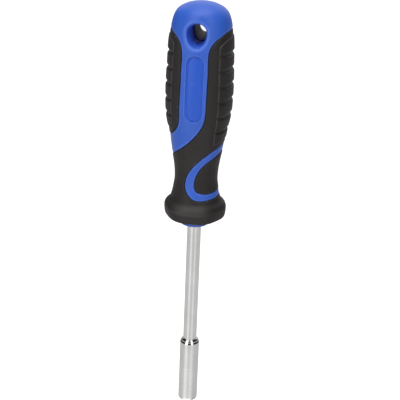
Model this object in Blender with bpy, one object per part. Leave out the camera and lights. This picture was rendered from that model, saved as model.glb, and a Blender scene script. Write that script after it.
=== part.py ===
"""Bit holder screwdriver, lying on its back: +X towards the socket mouth, +Z out of the front strip.

Sizes are in millimetres, measured along the tool from a datum just inside the
socket mouth to the handle end. Angles are in degrees round the tool axis: 0 is the front strip,
+90 the right side, and the back half mirrors the front half.
"""

import math

import bmesh
import bpy
import numpy as np

for old in list(bpy.data.objects):
    bpy.data.objects.remove(old, do_unlink=True)

MM = 0.001
GAP = 0.3  # between neighbouring pieces

# Handle: radius at the sides, along the tool
MOUTH_Z, HANDLE_END = -0.6, 218.2
MIDDLE = (MOUTH_Z + HANDLE_END) / 2
NOSE_Z, NOSE_R = 104.4, 7.4
NOSE_TOP = 105.8
SIDE_RADIUS = [
    (105.9, 8.1),
    (107.0, 10.65),
    (108.0, 12.95),
    (108.9, 14.55),
    (109.8, 15.2),
    (111.2, 15.5),
    (113.0, 15.62),
    (114.4, 15.6),
    (116.5, 14.9),
    (118.7, 13.15),
    (121.0, 12.2),
    (125.0, 11.35),
    (129.7, 10.78),
    (134.0, 10.98),
    (138.5, 11.55),
    (143.5, 12.45),
    (149.0, 13.3),
    (154.0, 13.9),
    (157.5, 14.45),
    (161.0, 15.15),
    (167.5, 15.8),
    (176.0, 15.95),
    (184.0, 15.75),
    (190.5, 15.45),
    (197.5, 15.3),
    (203.3, 15.0),
    (207.0, 14.65),
    (211.0, 13.7),
    (213.6, 12.4),
    (215.5, 10.4),
    (217.0, 7.4),
    (217.9, 4.0),
    (218.2, 1.0),
]
# Radius of the hard core under the soft grips
CORE_RADIUS = [
    (105.5, 6.8),
    (108.0, 7.6),
    (111.0, 9.4),
    (115.0, 10.2),
    (119.0, 9.8),
    (124.0, 9.3),
    (129.7, 9.0),
    (134.0, 9.1),
    (143.5, 10.0),
    (151.0, 11.3),
    (157.5, 12.6),
    (161.0, 13.2),
    (167.5, 13.8),
    (184.0, 13.8),
    (197.5, 13.3),
    (206.0, 12.5),
]
SQUARENESS = [(104.0, 0.0), (132.0, 0.0), (156.0, 0.02), (202.0, 0.02), (216.0, 0.0)]
HEXNESS = [(104.0, 0.0), (107.0, 0.012), (113.0, 0.016), (117.0, 0.008), (121.0, 0.0), (219.0, 0.0)]

# Outlines of the soft grips: (angle, distance along the tool)
PANEL_LEFT = [(-90, 205.4), (-64, 205.0), (-52, 204.2), (-42, 203.1), (-34, 201.3), (-28.5, 198.7), (-25.8, 194.5),
              (-26, 186), (-25.5, 180), (-26.6, 170), (-28.6, 161.5), (-38, 157.1), (-58, 153.7), (-90, 152.7)]
SLEEVE_EDGE = [(90, 206.0), (68, 205.4), (56, 204.6), (46, 203.3), (38, 202.0), (30, 199.9), (25.5, 197.5), (23.5, 193.8),
               (23.6, 186), (23, 180), (22.4, 171), (22.2, 167), (18.8, 161), (7, 155.5), (-18, 149.2), (-52, 144.1), (-90, 141.7)]
LOOP_OUTER = [(90, 149.0), (60, 147.9), (35, 144.9), (9, 139.9), (-13, 134), (-21, 129), (-16, 125),
              (0, 121.6), (18, 120.4), (43, 120.5), (72, 121.0), (90, 121.2)]
LOOP_INNER = [(90, 144.9), (60, 143.2), (35, 140.2), (18, 136.4), (8, 132.2), (4.8, 129), (7, 126.3),
              (15, 124.6), (36, 123.7), (60, 123.8), (90, 124)]
SLEEVE_START = 106.2

# Soft grips: height over the hard core, raised pads on the side panels with notches at an even pitch
PROUD = [(105.0, 0.15), (140.0, 0.15), (152.0, 0.26), (165.0, 0.38), (180.0, 0.42), (195.0, 0.44), (200.0, 0.3), (204.0, 0.12)]
PAD_RAISE, PAD_ANGLE, PAD_BORDER, PAD_ROUND, PAD_LOW = 0.42, 41.5, 3.0, 1.2, 146.5
RIB_FIRST, RIB_PITCH, RIB_COUNT = 156.6, 7.6, 6
RIB_DEPTH, RIB_HALF = 0.8, 1.4

# Bare stadium recess on the front and back strips
RECESS_LOW, RECESS_HIGH, RECESS_HALF, RECESS_DEPTH = 162.2, 194.5, 4.2, 0.42

# Hang hole: round above, longer below
HOLE_Z, HOLE_HALF, HOLE_UP, HOLE_DOWN = 205.2, 4.8, 4.8, 6.9
HOLE_FLARE = 1.2
# Its soft lining: a sleeve in the rear half of the hole that narrows to the back
LINER_FRONT, LINER_BACK, LINER_NARROW, LINER_LIFT = 0.0, -12.0, 1.9, 1.5

# Blade
SHAFT_R, SHAFT_LOW, SHAFT_HIGH = 3.6, 21.0, 168.0
WING_WIDE, WING_THICK, WING_LOW, WING_HIGH = 10.0, 3.0, 138.0, 150.0

# Socket
SOCKET_R, SOCKET_TOP, SHOULDER_Z = 5.15, 36.5, 34.4
# Shoulder: (inset from the sleeve's side, distance over its start), two chamfers with a short land between
SHOULDER = [(0.0, 0.0), (0.4, 0.79), (0.6, 0.85), (0.61, 1.4), (0.93, 2.07), (0.96, 2.1)]
HEX_ACROSS, HEX_DEPTH = 6.45, 17.0
MAGNET_R, MAGNET_LOW, MAGNET_HIGH = 3.0, 17.2, 20.4
RING_Z, RING_HIGH, RING_IN, RING_OUT, RING_GAP = 8.5, 0.8, 3.05, 3.6, 50.0
GROOVE_R = 3.9

COLUMNS = 40


def along(stations):
    """A smooth curve without overshoot through (position, value) stations."""
    x = np.array([s[0] for s in stations], float)
    y = np.array([s[1] for s in stations], float)
    h, d = np.diff(x), np.diff(y) / np.diff(x)
    slope = np.zeros(len(x))
    slope[0], slope[-1] = d[0], d[-1]
    for k in range(1, len(x) - 1):
        if d[k - 1] * d[k] > 0:
            w1, w2 = 2 * h[k] + h[k - 1], h[k] + 2 * h[k - 1]
            slope[k] = (w1 + w2) / (w1 / d[k - 1] + w2 / d[k])

    def value(at):
        at = np.clip(np.asarray(at, float), x[0], x[-1])
        k = np.clip(np.searchsorted(x, at) - 1, 0, len(x) - 2)
        t = (at - x[k]) / h[k]
        return (
            y[k] * (1 + 2 * t) * (1 - t) ** 2
            + h[k] * slope[k] * t * (1 - t) ** 2
            + y[k + 1] * t * t * (3 - 2 * t)
            + h[k] * slope[k + 1] * t * t * (t - 1)
        )

    return value


side_radius = along(SIDE_RADIUS)
core_radius = along(CORE_RADIUS)
squareness = along(SQUARENESS)
hexness = along(HEXNESS)
proud = along(PROUD)


def shape(angle, z):
    """How far the section departs from round: a soft square in the grip, a soft hexagon in the guard."""
    a = np.radians(angle)
    return 1 + squareness(z) * (0.78 - np.cos(4 * a)) - hexness(z) * (0.53 + np.cos(6 * a))


def hard_radius(angle, z):
    return np.where(np.asarray(z) < NOSE_TOP + 0.05, NOSE_R, side_radius(z)) * np.where(
        np.asarray(z) < NOSE_TOP + 0.05, 1.0, shape(angle, z)
    )


def pocket_radius(angle, z):
    return core_radius(z) * shape(angle, z)


def folded(angle):
    """The angle on the front half: the back mirrors the front."""
    a = (np.asarray(angle, float) + 180.0) % 360.0 - 180.0
    return np.where(a > 90, 180 - a, np.where(a < -90, -180 - a, a))


def outline(stations, close):
    """A closed polygon: a smooth line through the stations, run on past the sides and shut along `close`."""
    p = np.array([stations[0]] + stations + [stations[-1]], float)
    line = []
    for k in range(1, len(p) - 2):
        for t in np.arange(8) / 8.0:
            a, b, c, d = p[k - 1], p[k], p[k + 1], p[k + 2]
            line.append(
                0.5 * (2 * b + (c - a) * t + (2 * a - 5 * b + 4 * c - d) * t**2 + (3 * b - a - 3 * c + d) * t**3)
            )
    line.append(p[-1])
    first, last = line[0], line[-1]
    sign = lambda v: 1 if v[0] > 0 else -1
    line = [first + np.array([40.0 * sign(first), 0])] + line + [last + np.array([40.0 * sign(last), 0])]
    return np.array(line + [np.array(c, float) for c in close])


def distance(polygon):
    """Signed distance in millimetres on the handle's skin, negative inside the polygon."""
    ends = np.roll(polygon, -1, axis=0)

    def field(angle, z):
        a, z = np.broadcast_arrays(folded(angle), np.asarray(z, float))
        shape_of, a, z = a.shape, a.ravel(), z.ravel()
        scale = np.radians(1.0) * side_radius(z)[:, None]
        px, pz = (polygon[None, :, 0] - a[:, None]) * scale, polygon[None, :, 1] - z[:, None]
        ex, ez = (ends[None, :, 0] - a[:, None]) * scale, ends[None, :, 1] - z[:, None]
        dx, dz = ex - px, ez - pz
        t = np.clip(-(px * dx + pz * dz) / np.maximum(dx * dx + dz * dz, 1e-12), 0, 1)
        near = np.sqrt(((px + t * dx) ** 2 + (pz + t * dz) ** 2).min(axis=1))
        crosses = ((pz > 0) != (ez > 0)) & (px - pz * dx / np.where(dz == 0, 1e-12, dz) > 0)
        inside = crosses.sum(axis=1) % 2 == 1
        return np.where(inside, -near, near).reshape(shape_of)

    return field


in_left = distance(outline(PANEL_LEFT, []))
below_edge = distance(outline(SLEEVE_EDGE, [(-130, 60), (130, 60)]))
in_loop = distance(outline(LOOP_OUTER, []))
in_inset = distance(outline(LOOP_INNER, []))


def in_sleeve(angle, z):
    return np.maximum(np.maximum(below_edge(angle, z), -in_loop(angle, z)), SLEEVE_START - np.asarray(z, float))


def in_recess(angle, z):
    z = np.asarray(z, float)
    arc = np.radians(folded(angle)) * side_radius(z)
    over = z - np.clip(z, RECESS_LOW + RECESS_HALF, RECESS_HIGH - RECESS_HALF)
    return np.hypot(arc, over) - RECESS_HALF


def grip_radius(region):
    """Outer skin of a soft grip: raised pads away from its edge, parted by notches."""

    def radius(angle, z):
        z = np.asarray(z, float)
        inner = np.minimum(
            (np.abs(folded(angle)) - PAD_ANGLE) * np.radians(1.0) * side_radius(z), -region(angle, z) - PAD_BORDER
        )
        inner = np.minimum(inner, z - PAD_LOW)
        pad = np.clip(inner / PAD_ROUND, 0, 1)
        pad = pad * pad * (3 - 2 * pad)
        notch = np.zeros_like(pad)
        for k in range(RIB_COUNT):
            notch = np.maximum(notch, np.clip(1 - np.abs(z - RIB_FIRST - k * RIB_PITCH) / RIB_HALF, 0, 1))
        return hard_radius(angle, z) + proud(z) + pad * (PAD_RAISE - RIB_DEPTH * notch)

    return radius


class Skin:
    """Faces on a grid round the tool axis, each corner kept by angle, position and layer."""

    def __init__(self, layers):
        self.layers, self.index, self.points, self.faces = layers, {}, [], []

    def corner(self, angle, z, layer):
        key = (round(float(angle) % 360.0, 4), round(float(z), 4), layer)
        if key not in self.index:
            r = float(self.layers[layer](angle, z))
            a = math.radians(angle)
            self.index[key] = len(self.points)
            self.points.append((r * math.cos(a) * MM, r * math.sin(a) * MM, z * MM))
        return self.index[key]

    def face(self, corners):
        kept = [c for k, c in enumerate(corners) if c != corners[k - 1]]
        if len(kept) > 2:
            self.faces.append(kept)

    def flat(self, polygon, layer, outward=True):
        corners = [self.corner(a, z, layer) for a, z in polygon]
        self.face(corners if outward else corners[::-1])


def firm(values, least=0.12):
    """Keeps a grid corner from lying so near an outline that a cut there leaves a sliver."""
    return np.where(np.abs(values) < least, np.where(values < 0, -least, least), values)


def cut(polygon, field):
    """The parts of a convex polygon inside and outside a field, and the segment between them."""
    values = firm(np.array([float(field(a, z)) for a, z in polygon]))
    inside, outside, ends = [], [], []
    for k, here in enumerate(polygon):
        there, v, w = polygon[(k + 1) % len(polygon)], values[k], values[(k + 1) % len(polygon)]
        (inside if v < 0 else outside).append(here)
        if (v < 0) != (w < 0):
            t = v / (v - w)
            at = (here[0] + t * (there[0] - here[0]), here[1] + t * (there[1] - here[1]))
            inside.append(at)
            outside.append(at)
            ends.append((at, v < 0))
    if len(ends) != 2:
        return (inside, [], None) if values.mean() < 0 else ([], outside, None)
    leave = next(at for at, going_out in ends if going_out)
    enter = next(at for at, going_out in ends if not going_out)
    return inside, outside, (leave, enter)


def cells(rows):
    angles = np.arange(COLUMNS + 1) * 360.0 / COLUMNS
    for j in range(len(rows) - 1):
        for i in range(COLUMNS):
            a, b = float(angles[i]), float(angles[i + 1])
            yield i, j, [(a, rows[j]), (b, rows[j]), (b, rows[j + 1]), (a, rows[j + 1])]


def grid_signs(rows, field):
    angles = np.arange(COLUMNS + 1) * 360.0 / COLUMNS
    return firm(field(angles[None, :], np.array(rows)[:, None])) < 0


def whole(signs, i, j):
    four = (signs[j, i], signs[j, i + 1], signs[j + 1, i], signs[j + 1, i + 1])
    return None if len(set(four)) > 1 else bool(four[0])


def halves(quad):
    return [quad[0], quad[1], quad[2]], [quad[0], quad[2], quad[3]]


def mesh_object(name, points, faces, material, parent):
    mesh = bpy.data.meshes.new(name)
    mesh.from_pydata(points, [], faces)
    body = bmesh.new()
    body.from_mesh(mesh)
    bmesh.ops.remove_doubles(body, verts=body.verts, dist=1e-7)
    bmesh.ops.triangulate(body, faces=[f for f in body.faces if len(f.verts) > 3])
    bmesh.ops.recalc_face_normals(body, faces=body.faces)
    if body.calc_volume(signed=True) < 0:
        bmesh.ops.reverse_faces(body, faces=body.faces)
    body.to_mesh(mesh)
    body.free()
    for polygon in mesh.polygons:
        polygon.use_smooth = True
    if material:
        mesh.materials.append(material)
    made = bpy.data.objects.new(name, mesh)
    bpy.context.scene.collection.objects.link(made)
    made.parent = parent
    return made


def cutter(name, points, faces, parent):
    made = mesh_object(name, points, faces, None, parent)
    made.hide_render = True
    made.display_type = "WIRE"
    return made


def boolean(target, other, operation):
    step = target.modifiers.new(other.name, "BOOLEAN")
    step.operation, step.solver, step.object = operation, "EXACT", other


def loft(rings):
    """A closed body through rings of equal count, each a list of points, with flat ends."""
    points = [tuple(v * MM for v in p) for ring in rings for p in ring]
    n, faces = len(rings[0]), []
    for k in range(len(rings) - 1):
        for i in range(n):
            j = (i + 1) % n
            faces.append((k * n + i, k * n + j, (k + 1) * n + j, (k + 1) * n + i))
    faces.append(tuple(range(n))[::-1])
    faces.append(tuple((len(rings) - 1) * n + i for i in range(n)))
    return points, faces


def tube(outer, inner):
    """A closed ring body: outer rings from one end to the other, then inner rings back."""
    rings = outer + inner
    points = [tuple(v * MM for v in p) for ring in rings for p in ring]
    n, count, faces = len(rings[0]), len(rings), []
    for k in range(count):
        for i in range(n):
            j = (i + 1) % n
            m = (k + 1) % count
            faces.append((k * n + i, k * n + j, m * n + j, m * n + i))
    return points, faces


def circle(r, z, count):
    return [
        (r * math.cos(2 * math.pi * i / count), r * math.sin(2 * math.pi * i / count), z) for i in range(count)
    ]


def box(x, y, low, high):
    return loft([[(-x, -y, z), (x, -y, z), (x, y, z), (-x, y, z)] for z in (low, high)])


def egg(offset, x, lift=0.0, count=32):
    """The hang hole's outline, grown by an offset and cut short below by a lift, at a depth x through the handle."""
    ring = []
    for i in range(count):
        t = 2 * math.pi * i / count
        up = HOLE_UP if math.sin(t) > 0 else HOLE_DOWN - lift
        ring.append((x, (HOLE_HALF + offset) * math.cos(t), HOLE_Z + (up + offset) * math.sin(t)))
    return ring


def material(name, colour, rough, metal=0.0):
    made = bpy.data.materials.new(name)
    made.use_nodes = True
    shader = made.node_tree.nodes["Principled BSDF"]
    shader.inputs["Base Color"].default_value = (*colour, 1.0)
    shader.inputs["Roughness"].default_value = rough
    shader.inputs["Metallic"].default_value = metal
    made.diffuse_color = (*colour, 1.0)
    return made


axis = bpy.data.objects.new("tool_axis", None)
bpy.context.scene.collection.objects.link(axis)
axis.rotation_euler = (0.0, -math.pi / 2, 0.0)

notches = [RIB_FIRST + k * RIB_PITCH for k in range(RIB_COUNT)]
ROWS = sorted(
    [105.9, 107.0, 108.1, 109.2, 110.8, 113.0, 114.8, 116.6, 118.7, 121.5, 125.0, 130.0, 135.0, 140.0, 145.0, 150.0, 153.2]
    + [z + d for z in notches for d in (-RIB_HALF, 0.0, RIB_HALF)]
    + [199.3, 201.8, 203.8, 206.7, 210.0, 213.0, 215.4, 217.2]
)

# Hard core: outer skin, pockets for the soft grips, shallow recess on the strips
core = Skin([hard_radius, pocket_radius, lambda a, z: hard_radius(a, z) - RECESS_DEPTH])
regions = [(in_sleeve, 1), (in_left, 1), (in_inset, 1), (in_recess, 2)]
signs = [grid_signs(ROWS, field) for field, _ in regions]
for i, j, quad in cells(ROWS):
    states = [whole(s, i, j) for s in signs]
    if None not in states:
        core.flat(quad, next((regions[k][1] for k, s in enumerate(states) if s), 0))
        continue
    for polygon in halves(quad):
        rest = [polygon]
        for (field, layer), state in zip(regions, states):
            if state is False:
                continue
            left = []
            for part in rest:
                inside, outside, segment = cut(part, field)
                if len(inside) > 2:
                    core.flat(inside, layer)
                if len(outside) > 2:
                    left.append(outside)
                if segment:
                    p, q = segment
                    core.face([core.corner(*p, 0), core.corner(*q, 0), core.corner(*q, layer), core.corner(*p, layer)])
            rest = left
        for part in rest:
            core.flat(part, 0)
angles = [i * 360.0 / COLUMNS for i in range(COLUMNS)]
rim = [core.corner(a, ROWS[0], 0) for a in angles]
for r, z in ((NOSE_R, NOSE_TOP), (NOSE_R, NOSE_Z + 0.4), (NOSE_R - 0.4, NOSE_Z)):
    ring = list(range(len(core.points), len(core.points) + COLUMNS))
    core.points += [tuple(v * MM for v in p) for p in circle(r, z, COLUMNS)]
    for i in range(COLUMNS):
        k = (i + 1) % COLUMNS
        core.face([ring[i], ring[k], rim[k], rim[i]])
    rim = ring
core.face(rim[::-1])
core.points.append((0.0, 0.0, HANDLE_END * MM))
top = [core.corner(a, ROWS[-1], 0) for a in angles]
for i in range(COLUMNS):
    core.face([top[i], top[(i + 1) % COLUMNS], len(core.points) - 1])

blue = material("hard_plastic_blue", (0.045, 0.13, 0.56), 0.38)
handle_core = mesh_object("handle_core", core.points, core.faces, blue, axis)
lowest = min(v.co.x for v in handle_core.data.vertices)

bore = cutter(
    "bore_cutter", *loft([circle(SHAFT_R + GAP, NOSE_Z - 3, 32), circle(SHAFT_R + GAP, SHAFT_HIGH + GAP, 32)]), axis
)
slot = cutter(
    "wing_slot_cutter", *box(WING_WIDE / 2 + GAP, WING_THICK / 2 + GAP, WING_LOW - GAP, WING_HIGH + GAP), axis
)
hole = cutter(
    "hang_hole_cutter",
    *loft(
        [
            egg(HOLE_FLARE + 2.0, -19.0),
            egg(HOLE_FLARE, -15.4),
            egg(0.0, -12.6),
            egg(0.0, 12.6),
            egg(HOLE_FLARE, 15.4),
            egg(HOLE_FLARE + 2.0, 19.0),
        ]
    ),
    axis,
)
boolean(handle_core, bore, "DIFFERENCE")
boolean(handle_core, slot, "DIFFERENCE")
boolean(handle_core, hole, "DIFFERENCE")

# Soft grips: outer skin, inner skin on the pocket floor, edge walls between
for name, region in (("grip_sleeve", in_sleeve), ("grip_panel_left", in_left), ("grip_inset", in_inset)):
    inset = lambda a, z, region=region: region(a, z) + GAP
    grip = Skin([grip_radius(region), lambda a, z: pocket_radius(a, z) + GAP])
    signs = grid_signs(ROWS, inset)
    for i, j, quad in cells(ROWS):
        state = whole(signs, i, j)
        if state is False:
            continue
        if state:
            grip.flat(quad, 0)
            grip.flat(quad, 1, outward=False)
            continue
        for polygon in halves(quad):
            inside, _, segment = cut(polygon, inset)
            if len(inside) > 2:
                grip.flat(inside, 0)
                grip.flat(inside, 1, outward=False)
            if segment:
                p, q = segment
                grip.face([grip.corner(*q, 0), grip.corner(*p, 0), grip.corner(*p, 1), grip.corner(*q, 1)])
    made = mesh_object(
        name, grip.points, grip.faces, material("soft_grip_black_" + name, (0.03, 0.028, 0.028), 0.62), axis
    )
    lowest = min(lowest, min(v.co.x for v in made.data.vertices))
axis.location = (MIDDLE * MM, 0.0, -lowest)

# Soft lining of the hang hole
mesh_object(
    "hang_hole_liner",
    *tube(
        [egg(-GAP, LINER_BACK), egg(-GAP, LINER_FRONT)],
        [
            egg(-GAP - 0.4, LINER_FRONT),
            egg(-GAP - 0.6, LINER_FRONT - 0.5),
            egg(-LINER_NARROW, LINER_BACK + 0.6, LINER_LIFT),
            egg(0.4 - LINER_NARROW, LINER_BACK, LINER_LIFT),
        ],
    ),
    material("soft_lining_black", (0.03, 0.028, 0.03), 0.6),
    axis,
)

# Blade: round steel rod with flattened wings inside the handle
steel = material("blade_steel", (0.72, 0.72, 0.72), 0.24, 1.0)
blade_shaft = mesh_object(
    "blade_shaft",
    *loft(
        [
            circle(SHAFT_R - 0.4, SHAFT_LOW, 40),
            circle(SHAFT_R, SHAFT_LOW + 0.4, 40),
            circle(SHAFT_R, SHAFT_HIGH - 0.6, 40),
            circle(SHAFT_R - 0.6, SHAFT_HIGH, 40),
        ]
    ),
    steel,
    axis,
)
wings = cutter("wing_body", *box(WING_WIDE / 2, WING_THICK / 2, WING_LOW, WING_HIGH), axis)
boolean(blade_shaft, wings, "UNION")

# Socket: sleeve with a tapered shoulder, hex drive bore, magnet seat, press bore for the blade
bit_socket = mesh_object(
    "bit_socket",
    *loft(
        [circle(SOCKET_R - 0.4, MOUTH_Z, 48), circle(SOCKET_R, MOUTH_Z + 0.4, 48)]
        + [circle(SOCKET_R - inset, SHOULDER_Z + over, 48) for inset, over in SHOULDER]
    ),
    material("socket_steel", (0.7, 0.7, 0.7), 0.27, 1.0),
    axis,
)
hex_corner = HEX_ACROSS / math.sqrt(3)
drive = cutter(
    "hex_cutter",
    *loft(
        [
            circle(hex_corner + 1.0, MOUTH_Z - 0.5, 6),
            circle(hex_corner + 0.5, MOUTH_Z, 6),
            circle(hex_corner, MOUTH_Z + 0.5, 6),
            circle(hex_corner, HEX_DEPTH, 6),
        ]
    ),
    axis,
)
groove = cutter(
    "groove_cutter",
    *loft([circle(GROOVE_R, RING_Z - RING_HIGH / 2 - GAP, 40), circle(GROOVE_R, RING_Z + RING_HIGH / 2 + GAP, 40)]),
    axis,
)
press = cutter(
    "press_bore_cutter",
    *loft(
        [
            circle(MAGNET_R + GAP, HEX_DEPTH - 0.4, 40),
            circle(MAGNET_R + GAP, SHAFT_LOW - GAP, 40),
            circle(SHAFT_R + GAP, SHAFT_LOW - GAP + 0.001, 40),
            circle(SHAFT_R + GAP, SOCKET_TOP + 1, 40),
        ]
    ),
    axis,
)
boolean(bit_socket, drive, "DIFFERENCE")
boolean(bit_socket, press, "DIFFERENCE")
boolean(bit_socket, groove, "DIFFERENCE")

mesh_object(
    "magnet",
    *loft([circle(MAGNET_R, MAGNET_LOW, 32), circle(MAGNET_R, MAGNET_HIGH, 32)]),
    material("magnet_metal", (0.45, 0.45, 0.46), 0.35, 1.0),
    axis,
)

# Split spring ring in the groove of the hex bore
sections, steps = [], 28
for k in range(steps + 1):
    t = math.radians(90.0 + RING_GAP / 2 + (360.0 - RING_GAP) * k / steps)
    sections.append(
        [
            (r * math.cos(t), r * math.sin(t), z)
            for r, z in (
                (RING_IN, RING_Z - RING_HIGH / 2),
                (RING_OUT, RING_Z - RING_HIGH / 2),
                (RING_OUT, RING_Z + RING_HIGH / 2),
                (RING_IN, RING_Z + RING_HIGH / 2),
            )
        ]
    )
mesh_object("retaining_ring", *loft(sections), material("spring_steel", (0.5, 0.5, 0.5), 0.3, 1.0), axis)
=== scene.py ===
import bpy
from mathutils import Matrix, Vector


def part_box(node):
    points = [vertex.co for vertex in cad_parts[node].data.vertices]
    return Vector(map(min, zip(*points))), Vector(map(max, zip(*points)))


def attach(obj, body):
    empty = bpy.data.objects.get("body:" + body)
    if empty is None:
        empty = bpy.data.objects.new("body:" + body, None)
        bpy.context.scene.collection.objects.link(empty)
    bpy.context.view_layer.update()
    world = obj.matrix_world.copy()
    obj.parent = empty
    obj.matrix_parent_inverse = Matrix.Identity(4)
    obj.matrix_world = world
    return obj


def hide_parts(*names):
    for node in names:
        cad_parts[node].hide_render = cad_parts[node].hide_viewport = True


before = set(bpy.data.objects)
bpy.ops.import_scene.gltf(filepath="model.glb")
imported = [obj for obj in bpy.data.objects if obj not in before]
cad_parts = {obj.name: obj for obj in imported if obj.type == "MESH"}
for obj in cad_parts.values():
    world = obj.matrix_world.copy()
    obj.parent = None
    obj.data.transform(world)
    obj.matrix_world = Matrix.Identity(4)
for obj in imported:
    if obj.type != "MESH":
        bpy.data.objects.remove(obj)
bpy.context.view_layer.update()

import math

import bmesh
import bpy
import numpy as np
from mathutils import Matrix, Vector

# Sizes are in millimetres along the tool from a datum just inside the socket mouth
# to the handle end. Angles are in degrees round the tool axis: 0 is the front
# strip, +90 the right side, and the back half mirrors the front half.
MM = 0.001
MOUTH_Z, HANDLE_END = -0.6, 218.2
MIDDLE = (MOUTH_Z + HANDLE_END) / 2
low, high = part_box("bit_socket")
AXIS_HEIGHT = (low[2] + high[2]) / 2 / MM

NOSE_Z, NOSE_R, NOSE_TOP = 104.4, 7.4, 105.75
SIDE_RADIUS = [
    (105.9, 8.1), (107.0, 10.65), (108.0, 12.95), (108.9, 14.55), (109.8, 15.2), (111.2, 15.5), (113.0, 15.68),
    (114.4, 15.72), (116.3, 15.12), (118.5, 12.95), (121.0, 12.1), (125.0, 11.35), (129.7, 10.78), (134.0, 10.98),
    (138.5, 11.55), (143.5, 12.45), (149.0, 13.3), (154.0, 13.9), (157.5, 14.45), (161.0, 15.15), (167.5, 15.8), (176.0, 15.95),
    (184.0, 15.75), (190.5, 15.45), (197.5, 15.3), (203.3, 15.0), (207.0, 14.65), (211.0, 13.7), (213.6, 12.4),
    (215.5, 10.4), (217.0, 7.4),
]
POLE_Z, POLE_R = 217.0, 7.4
CORE_RADIUS = [
    (105.5, 6.8), (108.0, 7.6), (111.0, 9.4), (115.0, 10.2), (119.0, 9.8), (124.0, 9.3), (129.7, 9.0), (134.0, 9.1),
    (143.5, 10.0), (151.0, 11.3), (157.5, 12.6), (161.0, 13.2), (167.5, 13.8), (184.0, 13.8), (197.5, 13.3),
    (206.0, 12.5),
]
SQUARENESS = [(104.0, 0.0), (132.0, 0.0), (156.0, 0.02), (202.0, 0.02), (216.0, 0.0)]
HEXNESS = [(104.0, 0.0), (106.5, 0.016), (109.5, 0.02), (113.0, 0.014), (117.0, 0.005), (121.0, 0.0), (219.0, 0.0)]

# Outlines of the soft grips: (angle, distance along the tool)
PANEL_LEFT = [(-90, 205.4), (-64, 205.0), (-52, 204.2), (-42, 203.1), (-34, 201.3), (-28.5, 198.7), (-25.8, 194.5),
              (-26, 186), (-25.5, 180), (-26.6, 170), (-28.6, 161.5), (-38, 157.1), (-58, 153.7), (-90, 152.7)]
SLEEVE_EDGE = [(90, 206.0), (68, 205.4), (56, 204.6), (46, 203.3), (38, 202.0), (30, 199.9), (25.5, 197.5), (23.5, 193.8),
               (23.6, 186), (23, 180), (22.4, 171), (22.2, 167), (18.8, 161), (7, 155.5), (-18, 149.2), (-52, 144.1), (-90, 141.7)]
LOOP_OUTER = [(90, 149.0), (60, 147.9), (35, 144.9), (9, 139.9), (-13, 134), (-21, 129), (-16, 125),
              (0, 121.6), (18, 120.4), (43, 120.5), (72, 121.0), (90, 121.2)]
LOOP_INNER = [(90, 144.9), (60, 143.2), (35, 140.2), (18, 136.4), (8, 132.2), (4.8, 129), (7, 126.3),
              (15, 124.6), (36, 123.7), (60, 123.8), (90, 124)]
SLEEVE_START = 106.2

# Height of the soft grips over the hard core, and their raised pads
PROUD = [(105.0, 0.15), (140.0, 0.15), (152.0, 0.26), (165.0, 0.38), (180.0, 0.42), (195.0, 0.44), (200.0, 0.3), (204.0, 0.12)]
PAD_RAISE, PAD_ANGLE, PAD_BORDER, PAD_END, PAD_SIDE, PAD_LOW = 0.42, 41.5, 3.0, 0.5, 1.0, 146.5
RIB_FIRST, RIB_PITCH, RIB_COUNT = 156.6, 7.6, 6
NOTCH_HALF, NOTCH_SIDE, NOTCH_DEPTH = 0.5, 0.5, 0.55  # at the front end, more at the side, deeper there
PAD_LEVELS = [0.0, 0.06, 0.15, 0.28, PAD_END]
GUARD_HIGHLIGHT = (112.9, 115.4, -4.0)  # the painted highlight band on the guard's rim: from, to, middle angle

# Rolled edges where hard and soft meet: (distance from the seam, share of the drop)
SEAM = 0.04
SEAM_DROP = 0.45
SOFT_ROLL, HARD_ROLL = 0.7, 0.9
SOFT_LEVELS = [-SEAM, -0.1, -0.2, -0.32, -0.5, -SOFT_ROLL]
HARD_LEVELS = [SEAM, 0.12, 0.24, 0.4, 0.62, HARD_ROLL]

# A bare stadium in the front strip: a shallow floor with a groove round it and a slight lip outside
RECESS_LOW, RECESS_HIGH, RECESS_HALF = 162.2, 194.5, 4.2
RECESS_LEVELS = [-1.3, -1.0, -0.75, -0.5, -0.3, -0.12, 0.0, 0.15, 0.35, 0.7]
RECESS_STEP = [0.42, 0.44, 0.54, 0.68, 0.72, 0.6, 0.25, 0.0, -0.05, 0.0]

HOLE_Z, HOLE_HALF, HOLE_UP, HOLE_DOWN = 205.1, 4.7, 4.35, 6.9
HOLE_ROUND = 1.8
HOLE_LEVELS = [0.0, 0.05, 0.14, 0.28, 0.48, 0.75, 1.1, 1.45, HOLE_ROUND, 2.3]
# The soft lining: a sleeve in the rear half of the hole that narrows to the back
LINER_FRONT, LINER_BACK, LINER_NARROW, LINER_LIFT = 0.0, -12.0, 1.75, 1.5
HOLE_NARROW = 0.6  # how much the hole narrows below its rounded rim

SHAFT_R, SHAFT_LOW, SHAFT_HIGH = 3.6, 21.0, 168.0
WING_WIDE, WING_THICK, WING_LOW, WING_HIGH = 10.0, 3.0, 138.0, 150.0
SOCKET_R, SOCKET_TOP, SHOULDER_Z = 5.15, 36.5, 34.4
# Shoulder from the top: (inset from the sleeve's side, distance down), two chamfers with a short land between
SHOULDER = [
    (1.4, 0.0), (1.05, 0.0), (1.02, 0.02), (0.62, 0.70), (0.6, 0.76), (0.595, 1.06), (0.58, 1.1), (0.5, 1.12), (0.46, 1.15),
    (0.42, 1.22), (0.09, 1.82), (0.03, 1.93), (0.0, 2.1),
]
HEX_ACROSS, HEX_DEPTH = 6.45, 17.0
MAGNET_R, MAGNET_LOW, MAGNET_HIGH = 3.0, 17.2, 20.4
RING_Z, RING_HIGH, RING_IN, RING_OUT, RING_GAP = 8.5, 0.8, 3.05, 3.6, 50.0
GROOVE_R = 3.9
FIT = 0.06  # visible gap between metal pieces

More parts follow.
